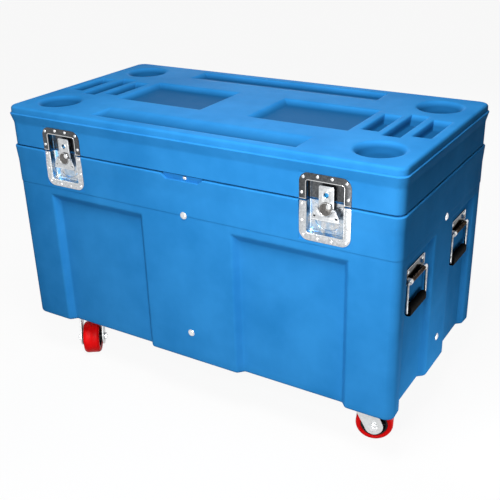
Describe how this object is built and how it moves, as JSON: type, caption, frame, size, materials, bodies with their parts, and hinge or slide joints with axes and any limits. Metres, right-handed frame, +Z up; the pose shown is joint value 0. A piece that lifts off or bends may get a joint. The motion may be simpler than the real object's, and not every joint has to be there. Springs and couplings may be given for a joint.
{
  "type": "flight case",
  "caption": "Rotomoulded plastic road trunk with a hinged lid, butterfly latches, sprung drop handles and swivel casters with red treads.",
  "frame": {"origin": "on the floor under the middle of the case", "axes": "+X along the length to the end on the right of the latched front, +Y to the hinged back, +Z up"},
  "size_m": [1.2, 0.62, 0.806],
  "materials": {
    "blue_plastic": "satin moulded polyethylene",
    "seal_rubber": "matt",
    "zinc_steel": "zinc plated",
    "dark_plate": "dark plated",
    "cam_steel": "dark plated",
    "handle_steel": "plated",
    "black_grip": "ribbed",
    "caster_zinc": "zinc plated",
    "bright_fastener": "bright",
    "black_plastic": "matt",
    "red_tread": "satin"
  },
  "bodies": {
    "case_body": {"body_shell": "blue_plastic", "lid_seal": "seal_rubber", "latch_left_dish": "zinc_steel", "latch_right_dish": "zinc_steel", "handle_right_front_plate": "handle_steel", "handle_right_back_plate": "handle_steel", "handle_left_front_plate": "handle_steel", "handle_left_back_plate": "handle_steel", "caster_fl_plate": "caster_zinc", "caster_fr_plate": "caster_zinc", "caster_bl_plate": "caster_zinc", "caster_br_plate": "caster_zinc", "hinge_left_body_leaf": "zinc_steel", "hinge_left_pin": "bright_fastener", "hinge_right_body_leaf": "zinc_steel", "hinge_right_pin": "bright_fastener", "bolt_front_upper": "bright_fastener", "bolt_front_lower": "bright_fastener", "bolt_right_upper": "bright_fastener", "bolt_right_lower": "bright_fastener", "bolt_back_upper": "bright_fastener", "bolt_back_lower": "bright_fastener", "bolt_left_upper": "bright_fastener", "bolt_left_lower": "bright_fastener", "notch_stud": "bright_fastener"},
    "lid": {"lid_shell": "blue_plastic", "latch_left_keeper": "dark_plate", "latch_right_keeper": "dark_plate", "hinge_left_lid_leaf": "zinc_steel", "hinge_right_lid_leaf": "zinc_steel"},
    "latch_left_cam": {"latch_left_cam": "cam_steel"},
    "latch_left_wing": {"latch_left_wing": "zinc_steel"},
    "latch_left_hook": {"latch_left_hook": "zinc_steel"},
    "latch_right_cam": {"latch_right_cam": "cam_steel"},
    "latch_right_wing": {"latch_right_wing": "zinc_steel"},
    "latch_right_hook": {"latch_right_hook": "zinc_steel"},
    "handle_right_front_bail": {"handle_right_front_bail": "handle_steel", "handle_right_front_grip": "black_grip"},
    "handle_right_back_bail": {"handle_right_back_bail": "handle_steel", "handle_right_back_grip": "black_grip"},
    "handle_left_front_bail": {"handle_left_front_bail": "handle_steel", "handle_left_front_grip": "black_grip"},
    "handle_left_back_bail": {"handle_left_back_bail": "handle_steel", "handle_left_back_grip": "black_grip"},
    "caster_fl_swivel": {"caster_fl_fork": "caster_zinc", "caster_fl_axle": "bright_fastener"},
    "caster_fl_wheel": {"caster_fl_hub": "black_plastic", "caster_fl_tyre": "red_tread"},
    "caster_fr_swivel": {"caster_fr_fork": "caster_zinc", "caster_fr_axle": "bright_fastener"},
    "caster_fr_wheel": {"caster_fr_hub": "black_plastic", "caster_fr_tyre": "red_tread"},
    "caster_bl_swivel": {"caster_bl_fork": "caster_zinc", "caster_bl_axle": "bright_fastener"},
    "caster_bl_wheel": {"caster_bl_hub": "black_plastic", "caster_bl_tyre": "red_tread"},
    "caster_br_swivel": {"caster_br_fork": "caster_zinc", "caster_br_axle": "bright_fastener"},
    "caster_br_wheel": {"caster_br_hub": "black_plastic", "caster_br_tyre": "red_tread"}
  },
  "joints": [
    {"name": "lid_hinge", "type": "hinge", "parent": "case_body", "child": "lid", "pos_m": [0, 0.306, 0.6932], "axis": [-1, 0, 0], "range_deg": [0, 95]},
    {"name": "latch_left_turn", "type": "hinge", "parent": "case_body", "child": "latch_left_cam", "pos_m": [-0.405, -0.304, 0.676], "axis": [0, -1, 0], "range_deg": [0, 180]},
    {"name": "latch_left_wing_fold", "type": "hinge", "parent": "latch_left_cam", "child": "latch_left_wing", "pos_m": [-0.405, -0.3018, 0.676], "axis": [-1, 0, 0], "range_deg": [0, 90]},
    {"name": "latch_left_hook_lift", "type": "slide", "parent": "case_body", "child": "latch_left_hook", "axis": [0, 0, 1], "range_m": [0, 0.006]},
    {"name": "latch_right_turn", "type": "hinge", "parent": "case_body", "child": "latch_right_cam", "pos_m": [0.405, -0.304, 0.676], "axis": [0, -1, 0], "range_deg": [0, 180]},
    {"name": "latch_right_wing_fold", "type": "hinge", "parent": "latch_right_cam", "child": "latch_right_wing", "pos_m": [0.405, -0.3018, 0.676], "axis": [-1, 0, 0], "range_deg": [0, 90]},
    {"name": "latch_right_hook_lift", "type": "slide", "parent": "case_body", "child": "latch_right_hook", "axis": [0, 0, 1], "range_m": [0, 0.006]},
    {"name": "handle_right_front_lift", "type": "hinge", "parent": "case_body", "child": "handle_right_front_bail", "pos_m": [0.586, -0.1595, 0.491], "axis": [0, -1, 0], "range_deg": [0, 90], "stiffness_Nm_per_rad": 0.15},
    {"name": "handle_right_back_lift", "type": "hinge", "parent": "case_body", "child": "handle_right_back_bail", "pos_m": [0.586, 0.1595, 0.491], "axis": [0, -1, 0], "range_deg": [0, 90], "stiffness_Nm_per_rad": 0.15},
    {"name": "handle_left_front_lift", "type": "hinge", "parent": "case_body", "child": "handle_left_front_bail", "pos_m": [-0.586, -0.1595, 0.491], "axis": [0, 1, 0], "range_deg": [0, 90], "stiffness_Nm_per_rad": 0.15},
    {"name": "handle_left_back_lift", "type": "hinge", "parent": "case_body", "child": "handle_left_back_bail", "pos_m": [-0.586, 0.1595, 0.491], "axis": [0, 1, 0], "range_deg": [0, 90], "stiffness_Nm_per_rad": 0.15},
    {"name": "caster_fl_swivel_turn", "type": "hinge", "parent": "case_body", "child": "caster_fl_swivel", "pos_m": [-0.471, -0.1995, 0.128], "axis": [0, 0, 1], "continuous": true},
    {"name": "caster_fl_wheel_spin", "type": "hinge", "parent": "caster_fl_swivel", "child": "caster_fl_wheel", "pos_m": [-0.45089, -0.22876, 0.05], "axis": [-0.8241, -0.5664, 0], "continuous": true},
    {"name": "caster_fr_swivel_turn", "type": "hinge", "parent": "case_body", "child": "caster_fr_swivel", "pos_m": [0.471, -0.1995, 0.128], "axis": [0, 0, 1], "continuous": true},
    {"name": "caster_fr_wheel_spin", "type": "hinge", "parent": "caster_fr_swivel", "child": "caster_fr_wheel", "pos_m": [0.50461, -0.18806, 0.05], "axis": [0.3223, -0.9466, 0], "continuous": true},
    {"name": "caster_bl_swivel_turn", "type": "hinge", "parent": "case_body", "child": "caster_bl_swivel", "pos_m": [-0.471, 0.1995, 0.128], "axis": [0, 0, 1], "continuous": true},
    {"name": "caster_bl_wheel_spin", "type": "hinge", "parent": "caster_bl_swivel", "child": "caster_bl_wheel", "pos_m": [-0.50174, 0.21725, 0.05], "axis": [0.5, 0.866, 0], "continuous": true},
    {"name": "caster_br_swivel_turn", "type": "hinge", "parent": "case_body", "child": "caster_br_swivel", "pos_m": [0.471, 0.1995, 0.128], "axis": [0, 0, 1], "continuous": true},
    {"name": "caster_br_wheel_spin", "type": "hinge", "parent": "caster_br_swivel", "child": "caster_br_wheel", "pos_m": [0.44964, 0.22785, 0.05], "axis": [0.7986, 0.6018, 0], "continuous": true}
  ],
  "couplings": [
    {"joint": "latch_left_turn", "follows": "latch_left_hook_lift", "rad_per_m": 523.59},
    {"joint": "latch_right_turn", "follows": "latch_right_hook_lift", "rad_per_m": 523.59}
  ]
}
